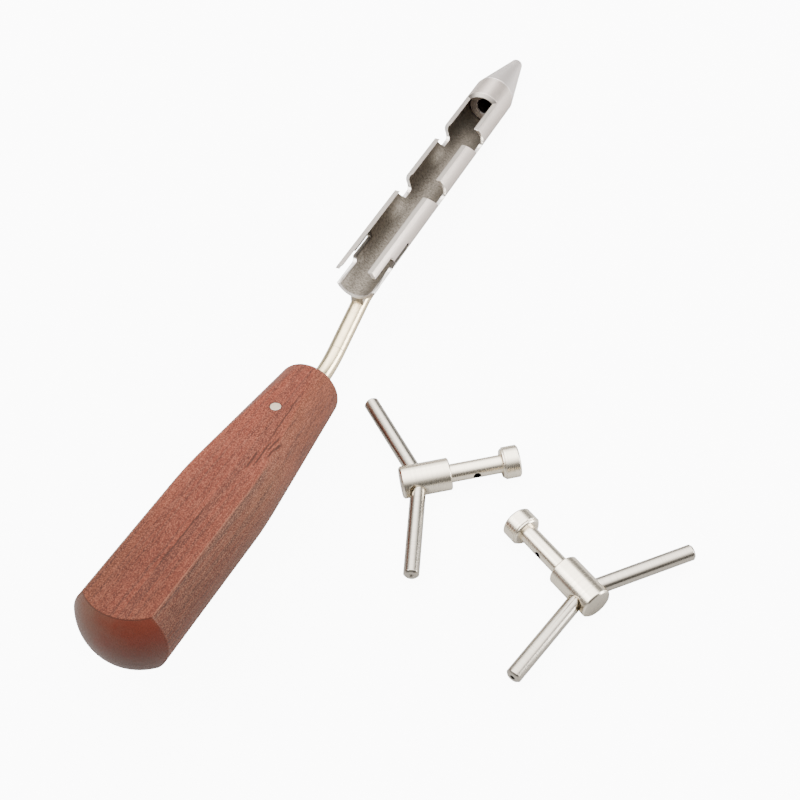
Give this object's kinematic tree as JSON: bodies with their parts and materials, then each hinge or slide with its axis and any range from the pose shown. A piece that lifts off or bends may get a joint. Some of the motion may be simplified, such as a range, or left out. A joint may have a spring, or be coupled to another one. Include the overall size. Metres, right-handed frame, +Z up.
{
  "type": "orthopedic_wire_twister",
  "caption": "Hand tool with a wooden handle, an open slotted steel trough ending in a bored cone, and two loose winding keys whose spools seat across the trough to draw a wire tight",
  "frame": {"origin": "centre of the underside of the bounding box of the tool and both keys lying on a table", "axes": "+X along the tool towards its nose, +Z up, +Y to the left of the tool seen from the handle"},
  "size_m": [0.26, 0.1272, 0.0375],
  "materials": {
    "wood": "satin",
    "pin_steel": "satin",
    "rod_steel": "polished",
    "trough_steel": "satin",
    "key_steel": "satin"
  },
  "bodies": {
    "tool": {"handle": "wood", "handle_pin": "pin_steel", "shank": "rod_steel", "shank_weld": "rod_steel", "trough": "trough_steel", "nose": "trough_steel"},
    "key_1": {"key_1_shaft": "key_steel", "key_1_hub": "key_steel", "key_1_head": "key_steel", "key_1_bar_a": "key_steel", "key_1_bar_b": "key_steel"},
    "key_2": {"key_2_shaft": "key_steel", "key_2_hub": "key_steel", "key_2_head": "key_steel", "key_2_bar_a": "key_steel", "key_2_bar_b": "key_steel"}
  },
  "joints": [
    {"name": "key_1_lift", "type": "slide", "parent": "tool", "child": "key_1", "axis": [0, 0, 1], "range_m": [0, 0.06]},
    {"name": "key_2_lift", "type": "slide", "parent": "tool", "child": "key_2", "axis": [0, 0, 1], "range_m": [0, 0.06]}
  ]
}
